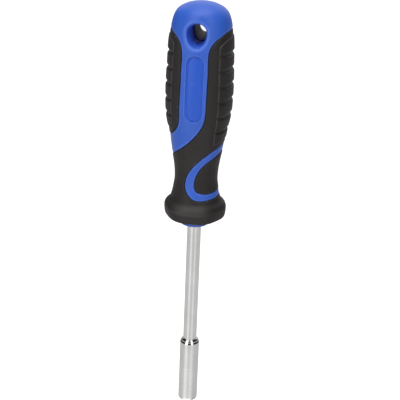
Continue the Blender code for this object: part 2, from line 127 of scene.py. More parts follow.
# Light: brightness of the sweep and the room, upright soft boxes (azimuth, half widths, strength), round ones
# (azimuth, elevation, inner and outer radius, strength), and the dark gap between them
SWEEP, ROOM, SWEEP_FROM, SWEEP_TO = 0.62, 0.02, -0.25, 0.10
BEHIND, BESIDE = 0.95, 0.42  # share of the sweep's light from behind the tool, and beside it above and below a band
TIP_LIGHT = 0.9  # more light from low in front of the tip
TOP_LIGHT = (0.86, 0.95, 0.3)  # over the handle end: from, to, strength
STRIPS = [(-27.0, 7.0, 20.0, 2.1, 0.26), (40.0, 6.0, 18.0, 1.5, 0.18)]
BOXES = [(5.0, 84.0, 10.0, 40.0, 2.15), (180.0, 38.0, 22.0, 55.0, 0.8)]
GAP_IN_FRONT = (9.7, 31.0, 12.0, 20.0, 0.97)

COLUMNS = 112  # over the front half
ROUND = 96  # sides of turned pieces


# ---------------------------------------------------------------- shape of the handle


def along(stations):
    """A smooth curve without overshoot through (position, value) stations."""
    x = np.array([s[0] for s in stations], float)
    y = np.array([s[1] for s in stations], float)
    h, d = np.diff(x), np.diff(y) / np.diff(x)
    slope = np.zeros(len(x))
    slope[0], slope[-1] = d[0], d[-1]
    for k in range(1, len(x) - 1):
        if d[k - 1] * d[k] > 0:
            w1, w2 = 2 * h[k] + h[k - 1], h[k] + 2 * h[k - 1]
            slope[k] = (w1 + w2) / (w1 / d[k - 1] + w2 / d[k])

    def value(at):
        at = np.clip(np.asarray(at, float), x[0], x[-1])
        k = np.clip(np.searchsorted(x, at) - 1, 0, len(x) - 2)
        t = (at - x[k]) / h[k]
        return (
            y[k] * (1 + 2 * t) * (1 - t) ** 2
            + h[k] * slope[k] * t * (1 - t) ** 2
            + y[k + 1] * t * t * (3 - 2 * t)
            + h[k] * slope[k + 1] * t * t * (t - 1)
        )

    return value


profile = along(SIDE_RADIUS)
core_radius = along(CORE_RADIUS)
squareness = along(SQUARENESS)
hexness = along(HEXNESS)
proud = along(PROUD)


def side_radius(z):
    z = np.asarray(z, float)
    pole = POLE_R * np.sqrt(np.clip((HANDLE_END - z) / (HANDLE_END - POLE_Z), 0, 1))
    return np.where(z > POLE_Z, pole, profile(z))


def shape(angle, z):
    """How far the section departs from round: a soft square in the grip, a soft hexagon in the guard."""
    a = np.radians(angle)
    return 1 + squareness(z) * (0.78 - np.cos(4 * a)) - hexness(z) * (0.53 + np.cos(6 * a))


def hard_radius(angle, z):
    return side_radius(z) * shape(angle, z)


def pocket_radius(angle, z):
    return core_radius(z) * shape(angle, z)


def outline(stations, close):
    """A closed polygon: a smooth line through the stations, run on past the sides and shut along `close`."""
    # Each end carries on into its mirror image on the back half without a corner
    before, after = ((math.copysign(180, near[0]) - near[0], near[1]) for near in (stations[1], stations[-2]))
    p = np.array([before] + stations + [after], float)
    line = []
    for k in range(1, len(p) - 2):
        for t in np.arange(8) / 8.0:
            a, b, c, d = p[k - 1], p[k], p[k + 1], p[k + 2]
            line.append(
                0.5 * (2 * b + (c - a) * t + (2 * a - 5 * b + 4 * c - d) * t**2 + (3 * b - a - 3 * c + d) * t**3)
            )
    line.append(p[-1])
    first, last = line[0], line[-1]
    sign = lambda v: 1 if v[0] > 0 else -1
    line = [first + np.array([40.0 * sign(first), 0])] + line + [last + np.array([40.0 * sign(last), 0])]
    return np.array(line + [np.array(c, float) for c in close])


def distance(polygon):
    """Signed distance in millimetres on the handle's skin, negative inside the polygon."""
    ends = np.roll(polygon, -1, axis=0)

    def field(angle, z):
        a, z = np.broadcast_arrays(np.asarray(angle, float), np.asarray(z, float))
        shape_of, a, z = a.shape, a.ravel(), z.ravel()
        scale = np.radians(1.0) * np.maximum(side_radius(z), 3.0)[:, None]
        px, pz = (polygon[None, :, 0] - a[:, None]) * scale, polygon[None, :, 1] - z[:, None]
        ex, ez = (ends[None, :, 0] - a[:, None]) * scale, ends[None, :, 1] - z[:, None]
        dx, dz = ex - px, ez - pz
        t = np.clip(-(px * dx + pz * dz) / np.maximum(dx * dx + dz * dz, 1e-12), 0, 1)
        near = np.sqrt(((px + t * dx) ** 2 + (pz + t * dz) ** 2).min(axis=1))
        crosses = ((pz > 0) != (ez > 0)) & (px - pz * dx / np.where(dz == 0, 1e-12, dz) > 0)
        inside = crosses.sum(axis=1) % 2 == 1
        return np.where(inside, -near, near).reshape(shape_of)

    return field


in_left = distance(outline(PANEL_LEFT, []))
below_edge = distance(outline(SLEEVE_EDGE, [(-130, 60), (130, 60)]))
in_loop = distance(outline(LOOP_OUTER, []))
in_inset = distance(outline(LOOP_INNER, []))


def in_sleeve(angle, z):
    return np.maximum(np.maximum(below_edge(angle, z), -in_loop(angle, z)), SLEEVE_START - np.asarray(z, float))


def in_soft(angle, z):
    return np.minimum(np.minimum(in_sleeve(angle, z), in_left(angle, z)), in_inset(angle, z))


def in_recess(angle, z):
    z = np.asarray(z, float)
    arc = np.radians(angle) * side_radius(z)
    over = z - np.clip(z, RECESS_LOW + RECESS_HALF, RECESS_HIGH - RECESS_HALF)
    return np.hypot(arc, over) - RECESS_HALF


def in_hole(angle, z):
    y = hard_radius(angle, z) * np.sin(np.radians(angle))
    dz = np.asarray(z, float) - HOLE_Z
    high = np.where(dz > 0, HOLE_UP, HOLE_DOWN)
    u, v = y / HOLE_HALF, dz / high
    g = np.maximum(np.hypot(u, v), 1e-6)
    return (g - 1) * g / np.maximum(np.hypot(u / HOLE_HALF, v / high), 1e-6)


def smooth(t):
    t = np.clip(t, 0, 1)
    return t * t * (3 - 2 * t)


def quarter(t):
    """From 1 at an edge to 0 one radius away from it, as a quarter round."""
    t = np.clip(t, 0, 1)
    return 1 - np.sqrt(np.clip(1 - (1 - t) ** 2, 0, 1))


def in_pads(region):
    """Distance into the part of a soft grip that carries the raised pads."""

    def field(angle, z):
        z = np.asarray(z, float)
        inner = np.minimum((np.abs(angle) - PAD_ANGLE) * np.radians(1.0) * side_radius(z), -region(angle, z) - PAD_BORDER)
        return np.minimum(inner, z - PAD_LOW)

    return field


def pads(inner, z):
    """Height of the raised pads over the smooth border of a soft grip."""
    k = np.clip(np.round((z - RIB_FIRST) / RIB_PITCH), 0, RIB_COUNT - 1)
    notch = np.abs(z - RIB_FIRST - k * RIB_PITCH)
    grow = smooth((inner - 1.0) / 8.0)
    half = NOTCH_HALF + NOTCH_SIDE * grow
    end, side = 1 - np.clip(inner / PAD_END, 0, 1), 1 - np.clip((notch - half) / PAD_SIDE, 0, 1)
    crest = np.sqrt(np.clip(1 - end**2 - side**2, 0, 1))
    valley = (0.25 * smooth((inner + 0.3) / 3.0) + 0.75 * grow) * (1 - smooth(notch / (half + 0.4 + 0.4 * grow)))
    return PAD_RAISE * crest - NOTCH_DEPTH * valley


# ---------------------------------------------------------------- meshes


def place(points):
    """From the tool's own axes (front, right, along) to the model's frame, in metres."""
    p = np.asarray(points, float)
    return np.stack([MIDDLE - p[:, 2], p[:, 1], AXIS_HEIGHT + p[:, 0]], axis=1) * MM


def steps(start, stop, size):
    count = max(1, round((stop - start) / size))
    return [start + (stop - start) * k / count for k in range(count)]


rib_rows = list(np.arange(-2.1, 2.11, 0.3)) + steps(2.6, RIB_PITCH - 2.1, 0.6)
ROWS = np.array(
    steps(105.9, 121.0, 0.6)
    + steps(121.0, RIB_FIRST - 2.1, 0.8)
    + [RIB_FIRST + k * RIB_PITCH + d for k in range(RIB_COUNT) for d in rib_rows]
    + steps(RIB_FIRST + RIB_COUNT * RIB_PITCH - 2.1, 213.0, 0.6)
    + steps(213.0, POLE_Z, 0.4)
    + [HANDLE_END - (HANDLE_END - POLE_Z) * (1 - t) ** 2 for t in (0.0, 0.2, 0.4, 0.6, 0.8)]
)


class Lattice:
    """The front half of the handle's skin as cells, sliced along the levels of some fields."""

    def __init__(self, fields, levels):
        angles = np.linspace(-90, 90, COLUMNS + 1)
        a, z = np.meshgrid(angles, ROWS)
        grid = [f(a, z) for f in fields]
        for values, steps_of in zip(grid, levels):
            for level in steps_of:
                values[np.abs(values - level) < 0.025] = level
        self.rows = [list(v) for v in np.stack([a.ravel(), z.ravel()] + [v.ravel() for v in grid], axis=1)]
        self.made, self.polygons = {}, []
        for j in range(len(ROWS) - 1):
            for i in range(COLUMNS):
                n = j * (COLUMNS + 1) + i
                quad = [n, n + 1, n + COLUMNS + 2, n + COLUMNS + 1]
                active = [
                    (f, [s for s in steps_of if min(v) < s < max(v)])
                    for f, (steps_of, v) in enumerate(
                        (steps_of, [self.rows[q][2 + f] for q in quad]) for f, steps_of in enumerate(levels)
                    )
                ]
                if not any(s for _, s in active):
                    self.polygons.append(quad)
                    continue
                if i < COLUMNS // 2:
                    parts = [[quad[0], quad[1], quad[2]], [quad[0], quad[2], quad[3]]]
                else:
                    parts = [[quad[0], quad[1], quad[3]], [quad[1], quad[2], quad[3]]]
                for f, _ in active:
                    for level in levels[f]:
                        parts = [piece for part in parts for piece in self.split(part, f, level)]
                self.polygons += parts
        self.table = np.array(self.rows)

    def split(self, polygon, f, level):
        v = [self.rows[p][2 + f] - level for p in polygon]
        if max(v) <= 1e-9 or min(v) >= -1e-9:
            return [polygon]
        below, above = [], []
        for k, p in enumerate(polygon):
            q, w = polygon[(k + 1) % len(polygon)], v[(k + 1) % len(polygon)]
            if v[k] <= 1e-9:
                below.append(p)
            if v[k] >= -1e-9:
                above.append(p)
            if (v[k] < -1e-9 and w > 1e-9) or (v[k] > 1e-9 and w < -1e-9):
                at = self.between(p, q, f, level)
                below.append(at)
                above.append(at)
        return [part for part in (below, above) if len(part) > 2]

    def between(self, p, q, f, level):
        key = (min(p, q), max(p, q), f, level)
        if key not in self.made:
            a, b = self.rows[key[0]], self.rows[key[1]]
            t = (level - a[2 + f]) / (b[2 + f] - a[2 + f])
            row = [x + t * (y - x) for x, y in zip(a, b)]
            row[2 + f] = level
            self.made[key] = len(self.rows)
            self.rows.append(row)
        return self.made[key]

    def where(self, test):
        """The polygons whose mean field values pass the test."""
        return [p for p in self.polygons if test(*self.table[p][:, 2:].mean(axis=0))]


def open_edges(polygons):
    """Directed edges that only one of the polygons has."""
    seen = {}
    for p in polygons:
        for k in range(len(p)):
            seen[(p[k], p[(k + 1) % len(p)])] = True
    return [(u, v) for u, v in seen if (v, u) not in seen]


class Body:
    """Points in the tool's own axes and faces, gathered layer by layer, then mirrored to the back."""

    def __init__(self):
        self.points, self.faces, self.count = [], [], 0

    def layer(self, points):
        start = self.count
        self.points.append(np.asarray(points, float))
        self.count += len(points)
        return start

    def add(self, start, polygons, flip=False):
        for p in polygons:
            corners = [start + k for k in p]
            self.faces.append(corners[::-1] if flip else corners)

    def mirrored(self):
        points = np.concatenate(self.points)
        back = points * np.array([-1.0, 1.0, 1.0])
        n = len(points)
        return np.concatenate([points, back]), self.faces + [[n + k for k in f[::-1]] for f in self.faces]


def mesh_piece(name, points, faces, sharp=40.0, weld=2e-7, marks={}):
    mesh = bpy.data.meshes.new(name)
    mesh.from_pydata([tuple(p) for p in place(points)], [], faces)
    for mark, values in marks.items():
        values = np.concatenate([values, np.zeros(len(points) - len(values))]).astype(np.float32)
        mesh.attributes.new(mark, "FLOAT", "POINT").data.foreach_set("value", values)
    body = bmesh.new()
    body.from_mesh(mesh)
    bmesh.ops.remove_doubles(body, verts=body.verts, dist=weld)
    loose = [v for v in body.verts if not v.link_faces]
    bmesh.ops.delete(body, geom=loose, context="VERTS")
    bmesh.ops.dissolve_degenerate(body, dist=weld, edges=body.edges)
    bmesh.ops.recalc_face_normals(body, faces=body.faces)
    if body.calc_volume(signed=True) < 0:
        bmesh.ops.reverse_faces(body, faces=body.faces)
    gaps = sum(1 for e in body.edges if len(e.link_faces) != 2)
    if gaps:
        print(name, "has", gaps, "edges without two faces")
    body.to_mesh(mesh)
    body.free()
    for polygon in mesh.polygons:
        polygon.use_smooth = True
    mesh.set_sharp_from_angle(angle=math.radians(sharp))
    made = bpy.data.objects.new(name, mesh)
    bpy.context.scene.collection.objects.link(made)
    return made


def skin_points(angle, z, radius):
    a = np.radians(angle)
    return np.stack([radius * np.cos(a), radius * np.sin(a), z], axis=1)


def ring(radius, z, count):
    """A ring of points at one place along the tool; the radius may change round it."""
    t = 2 * np.pi * np.arange(count) / count
    r = np.broadcast_to(radius, (count,))
    return np.stack([r * np.cos(t), r * np.sin(t), np.full(count, float(z))], axis=1)


def tube_faces(rings, count, closed):
    faces = []
    for k in range(rings if closed else rings - 1):
        m = (k + 1) % rings
        for i in range(count):
            j = (i + 1) % count
            faces.append([k * count + i, k * count + j, m * count + j, m * count + i])
    return faces


def turned(rings, closed=False):
    """A body through rings of equal count; open ends are shut with a fan."""
    count = len(rings[0])
    points, faces = np.concatenate(rings), tube_faces(len(rings), count, closed)
    if not closed:
        first, last = len(points), len(points) + 1
        points = np.concatenate([points, [rings[0].mean(axis=0)], [rings[-1].mean(axis=0)]])
        top = (len(rings) - 1) * count
        for i in range(count):
            j = (i + 1) % count
            faces.append([first, j, i])
            faces.append([last, top + i, top + j])
    return points, faces


def winged(radius, margin, count):
    """Radius round the axis of a round rod with two flat wings."""
    t = 2 * np.pi * np.arange(count) / count
    wide, thick = WING_WIDE / 2 + margin, WING_THICK / 2 + margin
    flat = np.minimum(wide / np.maximum(np.abs(np.cos(t)), 1e-6), thick / np.maximum(np.abs(np.sin(t)), 1e-6))
    return np.maximum(radius, flat)


def egg(offset, x, lift=0.0, count=ROUND):
    t = 2 * np.pi * np.arange(count) / count
    up = np.where(np.sin(t) > 0, HOLE_UP, HOLE_DOWN - lift)
    y, z = (HOLE_HALF + offset) * np.cos(t), HOLE_Z + (up + offset) * np.sin(t)
    return np.stack([np.full(count, float(x)), y, z], axis=1)


# ---------------------------------------------------------------- hard core


def make_core():
    lattice = Lattice([in_soft, in_recess, in_hole], [HARD_LEVELS, RECESS_LEVELS, HOLE_LEVELS])
    angle, z, soft, recess, hole = lattice.table.T
    radius = hard_radius(angle, z)
    radius -= SEAM_DROP * quarter((soft - SEAM) / (HARD_ROLL - SEAM))
    step = np.interp(recess, RECESS_LEVELS, RECESS_STEP)
    radius -= step
    skin = skin_points(angle, z, radius)
    skin[:, 0] -= HOLE_ROUND * quarter(hole / HOLE_ROUND) * (hole < HOLE_ROUND)
    body = Body()
    outer = body.layer(skin)
    floor = body.layer(skin_points(angle, z, pocket_radius(angle, z)))
    shown = lattice.where(lambda s, r, h: s > SEAM and h > 0)
    body.add(outer, shown)
    body.add(floor, lattice.where(lambda s, r, h: s < SEAM))
    # Walls: down to the pockets, and through the hang hole to the middle plane
    across = np.where(z > HOLE_Z, HOLE_UP, HOLE_DOWN)
    normal = np.stack([skin[:, 1] / HOLE_HALF**2, (z - HOLE_Z) / across**2], axis=1)
    normal /= np.maximum(np.linalg.norm(normal, axis=1, keepdims=True), 1e-9)
    tunnel = [outer]
    for x, share in ((11.6, 0.55), (10.6, 0.92), (9.4, 1.0), (7.0, 1.0), (3.5, 1.0), (0.0, 1.0)):
        p = skin.copy()
        p[:, 0] = x
        p[:, 1:] -= normal * HOLE_NARROW * share
        tunnel.append(body.layer(p))
    first, last = ROWS[0], ROWS[-1]
    for u, v in open_edges(shown):
        if abs(angle[u]) > 89.99 and abs(angle[v]) > 89.99 and abs(angle[u] - angle[v]) < 1:
            continue
        if max(abs(z[u] - first), abs(z[v] - first)) < 1e-6 or max(abs(z[u] - last), abs(z[v] - last)) < 1e-6:
            continue
        if hole[u] < 0.01 and hole[v] < 0.01:
            for a, b in zip(tunnel[:-1], tunnel[1:]):
                body.faces.append([a + v, a + u, b + u, b + v])
        else:
            body.faces.append([outer + v, outer + u, floor + u, floor + v])
    # Nose ring and bore for the blade below, the pole above
    count = COLUMNS * 2
    points, faces = body.mirrored()
    # Painted highlights on rounded edges: the rim of the hang hole, and less along the seams and the lip of the recess
    painted_highlight = np.zeros(body.count)
    rim = smooth(hole / 0.5) * (1 - smooth((hole - 1.2) / 1.1))
    lip = smooth((recess - 0.05) / 0.15) * (1 - smooth((recess - 0.3) / 0.5))
    painted_highlight[: len(hole)] = np.maximum(rim, 0.6 * np.maximum(1 - smooth((soft - 0.3) / 1.1), lip))
    # Marks the walls of the hang hole for their painted glow
    inside = np.zeros(body.count)
    inside[2 * len(hole) :] = 1.0
    marks = {"painted_highlight": np.concatenate([painted_highlight, painted_highlight]), "inside": np.concatenate([inside, inside])}
    points, faces = list(points), list(faces)
    degrees = np.arange(count) * 360.0 / count - 90
    t = np.radians(degrees)

    def lathe(profile):
        made = []
        for r, at in profile:
            made.append(len(points))
            r = np.broadcast_to(r, (count,))
            points.extend(np.stack([r * np.cos(t), r * np.sin(t), np.full(count, float(at))], axis=1))
        return made

    def band(a, b):
        for i in range(count):
            j = (i + 1) % count
            faces.append([a + i, a + j, b + j, b + i])

    wide, thick = WING_WIDE / 2 + FIT, WING_THICK / 2 + FIT
    flat = np.minimum(wide / np.maximum(np.abs(np.cos(t)), 1e-6), thick / np.maximum(np.abs(np.sin(t)), 1e-6))
    bore = SHAFT_R + FIT
    slot = np.maximum(bore, flat)
    start = hard_radius(degrees, first) - SEAM_DROP * quarter((SLEEVE_START - first - SEAM) / (HARD_ROLL - SEAM))
    rings = lathe(
        [(start, first), (NOSE_R + 0.05, NOSE_TOP + 0.03), (NOSE_R, NOSE_TOP - 0.12), (NOSE_R, NOSE_Z + 0.45),
         (NOSE_R - 0.06, NOSE_Z + 0.22), (NOSE_R - 0.22, NOSE_Z + 0.06), (NOSE_R - 0.45, NOSE_Z),
         (bore + 0.35, NOSE_Z), (bore + 0.1, NOSE_Z + 0.1), (bore, NOSE_Z + 0.35), (bore, WING_LOW - FIT),
         (slot, WING_LOW - FIT + 0.01), (slot, WING_HIGH + FIT - 0.01), (bore, WING_HIGH + FIT), (bore, SHAFT_HIGH + FIT)]
    )
    for a, b in zip(rings[:-1], rings[1:]):
        band(b, a)
    points.append(np.array([0.0, 0.0, SHAFT_HIGH + FIT]))
    for i in range(count):
        faces.append([rings[-1] + i, rings[-1] + (i + 1) % count, len(points) - 1])
    (top,) = lathe([(hard_radius(degrees, last), last)])
    points.append(np.array([0.0, 0.0, HANDLE_END]))
    for i in range(count):
        faces.append([top + i, top + (i + 1) % count, len(points) - 1])
    return mesh_piece("core_shell", np.array(points), faces, marks=marks)


def make_grip(name, region):
    lattice = Lattice([region, in_pads(region)], [SOFT_LEVELS, PAD_LEVELS])
    angle, z, edge, inner = lattice.table.T
    drop = (proud(z) + SEAM_DROP) * quarter((-edge - SEAM) / (SOFT_ROLL - SEAM))
    radius = hard_radius(angle, z) + proud(z) + pads(inner, z) - drop
    body = Body()
    outer = body.layer(skin_points(angle, z, radius))
    under = body.layer(skin_points(angle, z, pocket_radius(angle, z) + FIT))
    shown = lattice.where(lambda e, i: e < -SEAM)
    body.add(outer, shown)
    body.add(under, shown, flip=True)
    for u, v in open_edges(shown):
        if abs(angle[u]) > 89.99 and abs(angle[v]) > 89.99 and abs(angle[u] - angle[v]) < 1:
            continue
        body.faces.append([outer + v, outer + u, under + u, under + v])
    # Painted glints: the front ends of the pads are paler
    k = np.clip(np.round((z - RIB_FIRST) / RIB_PITCH), 0, RIB_COUNT - 1)
    clear = smooth((np.abs(z - RIB_FIRST - k * RIB_PITCH) - NOTCH_HALF) / 0.6)
    painted_highlight = np.zeros(body.count)
    ends = smooth((inner - 0.02) / 0.12) * (1 - smooth((inner - 0.3) / 0.35)) * clear
    # A painted highlight band across the rim of the guard, and more to its left
    rim = 0.8 * smooth((z - GUARD_HIGHLIGHT[0]) / 0.7) * (1 - smooth((z - GUARD_HIGHLIGHT[1]) / 4.0))
    rim = rim * (1 - smooth((np.abs(angle - GUARD_HIGHLIGHT[2]) - 14.0) / 34.0))
    painted_highlight[: len(inner)] = np.maximum(ends, rim)
    return mesh_piece(name, *body.mirrored(), marks={"painted_highlight": np.concatenate([painted_highlight, painted_highlight])})


def make_liner():
    front, back, narrow, up, wall = LINER_FRONT, LINER_BACK, -LINER_NARROW, LINER_LIFT, -HOLE_NARROW
    inside = [(front, wall - 0.2, 0.0), (front - 0.15, wall - 0.3, 0.0)]
    inside += [
        (front - 0.5 + (back + 1.1 - front) * t, wall - 0.36 + (narrow - wall + 0.36) * t, up * t)
        for t in (0.0, 0.15, 0.3, 0.45, 0.6, 0.8, 1.0)
    ]
    inside += [(back + 0.25, narrow + 0.06, up), (back + 0.07, narrow + 0.2, up), (back, narrow + 0.42, up)]
    outside = [(back, wall - 0.45, 0.0), (back + 0.08, wall - 0.25, 0.0), (back + 0.3, wall - FIT, 0.0)]
    outside += [(front - 0.3, wall - FIT, 0.0), (front - 0.05, wall - 0.1, 0.0)]
    rings = [egg(o, x, lift) for x, o, lift in inside + outside]
    # Its front is painted dark blue, fading into its own colour over 5 mm, as painted shade where the blue wall darkens
    # into the hole
    painted_blue_fade = np.concatenate([np.full(ROUND, 1 - smooth((front - x) / 5.0)) for x, _, _ in inside + outside])
    return mesh_piece("hole_lining", *turned(rings, closed=True), marks={"painted_blue_fade": painted_blue_fade})


# ---------------------------------------------------------------- metal


def make_shaft():
    r = SHAFT_R
    wing = winged(r, 0.0, ROUND)
    profile = [(r - 0.5, SHAFT_LOW), (r - 0.15, SHAFT_LOW + 0.15), (r, SHAFT_LOW + 0.5)]
    profile += [(r, z) for z in np.linspace(SHAFT_LOW + 8, WING_LOW, 16)]
    profile += [(wing, WING_LOW + 0.01), (wing, WING_HIGH - 0.01), (r, WING_HIGH), (r, SHAFT_HIGH - 0.7)]
    profile += [(r - 0.2, SHAFT_HIGH - 0.2), (r - 0.7, SHAFT_HIGH)]
    return mesh_piece("blade_rod", *turned([ring(a, z, ROUND) for a, z in profile]))


def hexagon(across, soft):
    """Radius round the axis of a hexagon with slightly rounded corners."""
    t = 2 * np.pi * np.arange(ROUND) / ROUND
    half = across / 2
    off = (t + np.pi / 6) % (np.pi / 3) - np.pi / 6
    return np.minimum(half / np.cos(off), half / math.cos(math.pi / 6) - soft)


def make_socket():
    drive = hexagon(HEX_ACROSS, 0.08)
    low, high = RING_Z - RING_HIGH / 2 - FIT, RING_Z + RING_HIGH / 2 + FIT
    bore, seat = SHAFT_R + FIT, MAGNET_R + FIT
    outside = [(SOCKET_R - inset, SOCKET_TOP - down) for inset, down in SHOULDER]
    outside += [(SOCKET_R, z) for z in np.linspace(SHOULDER_Z - 4, 1.2, 10)]
    end = [(0.0, 0.55), (0.1, 0.22), (0.28, 0.05), (0.45, 0.0)]
    outside += [(SOCKET_R - inset, MOUTH_Z + over) for inset, over in end]
    inside = [
        (drive + 0.55, MOUTH_Z), (drive + 0.42, MOUTH_Z + 0.06), (drive, MOUTH_Z + 0.55), (drive, low - 0.05), (GROOVE_R, low), (GROOVE_R, high),
        (drive, high + 0.05), (drive, HEX_DEPTH), (seat, HEX_DEPTH + 0.05), (seat, SHAFT_LOW - FIT),
        (bore, SHAFT_LOW - FIT + 0.01), (bore, SOCKET_TOP - 0.1), (bore + 0.08, SOCKET_TOP),
    ]
    return mesh_piece("socket_sleeve", *turned([ring(a, z, ROUND) for a, z in outside + inside], closed=True), sharp=28.0)


def make_magnet():
    r = MAGNET_R
    profile = [(r - 0.25, MAGNET_LOW), (r - 0.07, MAGNET_LOW + 0.07), (r, MAGNET_LOW + 0.25), (r, MAGNET_HIGH - 0.25),
               (r - 0.07, MAGNET_HIGH - 0.07), (r - 0.25, MAGNET_HIGH)]
    return mesh_piece("magnet_disc", *turned([ring(a, z, ROUND) for a, z in profile]))


def make_ring():
    """A split ring of wire: a rounded section swept most of the way round."""
    middle, half, tall = (RING_IN + RING_OUT) / 2, (RING_OUT - RING_IN) / 2, RING_HIGH / 2
    sections = []
    for k in range(73):
        t = math.radians(90.0 + RING_GAP / 2 + (360.0 - RING_GAP) * k / 72)
        section = []
        for i in range(16):
            s = 2 * math.pi * i / 16
            c, n = math.cos(s), math.sin(s)
            power = (abs(c) ** 3 + abs(n) ** 3) ** (-1 / 3)
            r = middle + half * c * power
            section.append((r * math.cos(t), r * math.sin(t), RING_Z + tall * n * power))
        sections.append(np.array(section))
    return mesh_piece("spring_ring", *turned(sections), sharp=60.0)


# ---------------------------------------------------------------- materials


class Nodes:
    """A procedural material; patterns are laid out in metres on the piece itself."""

    def __init__(self, name):
        self.material = bpy.data.materials.new(name)
        self.material.use_nodes = True
        self.tree = self.material.node_tree
        self.shader = self.tree.nodes["Principled BSDF"]
        self.place = self.tree.nodes.new("ShaderNodeTexCoord").outputs["Object"]

    def link(self, a, b):
        self.tree.links.new(a, b)

    def stretched(self, scale):
        node = self.tree.nodes.new("ShaderNodeMapping")
        node.inputs["Scale"].default_value = scale
        self.link(self.place, node.inputs["Vector"])
        return node.outputs["Vector"]

    def noise(self, scale, detail=3.0, rough=0.55, vector=None):
        node = self.tree.nodes.new("ShaderNodeTexNoise")
        node.inputs["Scale"].default_value = scale
        node.inputs["Detail"].default_value = detail
        node.inputs["Roughness"].default_value = rough
        self.link(vector or self.place, node.inputs["Vector"])
        return node.outputs["Fac"]

    def ramp(self, source, stops):
        node = self.tree.nodes.new("ShaderNodeValToRGB")
        ramp = node.color_ramp
        while len(ramp.elements) < len(stops):
            ramp.elements.new(0.5)
        for element, (at, colour) in zip(ramp.elements, stops):
            element.position = at
            element.color = (*colour, 1.0)
        self.link(source, node.inputs["Fac"])
        return node.outputs["Color"]

    def span(self, source, low, high, start=0.3, stop=0.7):
        node = self.tree.nodes.new("ShaderNodeMapRange")
        for name, value in (("From Min", start), ("From Max", stop), ("To Min", low), ("To Max", high)):
            node.inputs[name].default_value = value
        self.link(source, node.inputs["Value"])
        return node.outputs["Result"]

    def mix(self, factor, a, b, blend="MIX"):
        node = self.tree.nodes.new("ShaderNodeMix")
        node.data_type, node.blend_type = "RGBA", blend
        for socket, value in ((node.inputs["Factor"], factor), (node.inputs[6], a), (node.inputs[7], b)):
            if isinstance(value, bpy.types.NodeSocket):
                self.link(value, socket)
            elif isinstance(value, tuple):
                socket.default_value = (*value, 1.0)
            else:
                socket.default_value = value
        return node.outputs[2]

    def maths(self, operation, *values):
        node = self.tree.nodes.new("ShaderNodeMath")
        node.operation = operation
        for socket, value in zip(node.inputs, values):
            if isinstance(value, bpy.types.NodeSocket):
                self.link(value, socket)
            else:
                socket.default_value = value
        return node.outputs[0]

    def mark(self, name):
        node = self.tree.nodes.new("ShaderNodeAttribute")
        node.attribute_name = name
        return node.outputs["Fac"]

    def edges(self, start, stop):
        """How strongly a point lies on an outward edge."""
        node = self.tree.nodes.new("ShaderNodeNewGeometry")
        return self.span(node.outputs["Pointiness"], 0.0, 1.0, start, stop)

    def bump(self, height, strength, depth, under=None):
        node = self.tree.nodes.new("ShaderNodeBump")
        node.inputs["Strength"].default_value = strength
        node.inputs["Distance"].default_value = depth
        self.link(height, node.inputs["Height"])
        if under:
            self.link(under, node.inputs["Normal"])
        return node.outputs["Normal"]

    def set(self, **values):
        for name, value in values.items():
            socket = self.shader.inputs[name.replace("_", " ")]
            if isinstance(value, bpy.types.NodeSocket):
                self.link(value, socket)
            else:
                socket.default_value = value


def blue_plastic():
    m = Nodes("moulded_blue")
    cloud = m.noise(140.0, 4.0)
    grain = m.noise(2600.0, 2.0)
    colour = m.ramp(cloud, [(0.3, (0.035, 0.117, 0.565)), (0.7, (0.044, 0.134, 0.615))])
    # The floor of the recess is smoother than the strip round it, and painted a darker, deeper blue as painted shade
    split = m.tree.nodes.new("ShaderNodeSeparateXYZ")
    m.link(m.place, split.inputs[0])
    ends = [(MIDDLE - z) * MM for z in (RECESS_HIGH - RECESS_HALF, RECESS_LOW + RECESS_HALF)]
    over = m.maths("SUBTRACT", split.outputs[0], m.maths("MINIMUM", m.maths("MAXIMUM", split.outputs[0], ends[0]), ends[1]))
    apart = m.maths("SQRT", m.maths("ADD", m.maths("MULTIPLY", over, over), m.maths("MULTIPLY", split.outputs[1], split.outputs[1])))
    floor = m.span(apart, 1.0, 0.0, (RECESS_HALF - 0.9) * MM, (RECESS_HALF - 0.3) * MM)
    # Painted shade: a darker blue on the floor of the recess
    colour = m.mix(floor, colour, (0.026, 0.108, 0.60))
    # A clearer blue is painted on the walls of the hang hole as painted light, for light glowing through their plastic
    inside = m.mark("inside")
    colour = m.mix(inside, colour, (0.038, 0.125, 0.62))
    # Painted highlight: a paler blue on the rim of the hang hole, the seams and the recess lip
    patchy_highlight = m.maths("MULTIPLY", m.mark("painted_highlight"), m.span(cloud, 0.75, 1.0))
    wear_and_highlight = m.mix(patchy_highlight, colour, (0.085, 0.19, 0.72))
    rough = m.span(m.noise(420.0, 5.0), 0.28, 0.38)
    m.set(
        Base_Color=wear_and_highlight,
        Roughness=m.maths("MULTIPLY_ADD", inside, 0.3, m.maths("MULTIPLY", rough, m.maths("MULTIPLY_ADD", floor, -0.25, 1.0))),
        Normal=m.bump(grain, 0.10, 0.00005, m.bump(cloud, 0.05, 0.0002)),
        IOR=1.5,
        Specular_IOR_Level=0.3,
    )
    return m.material


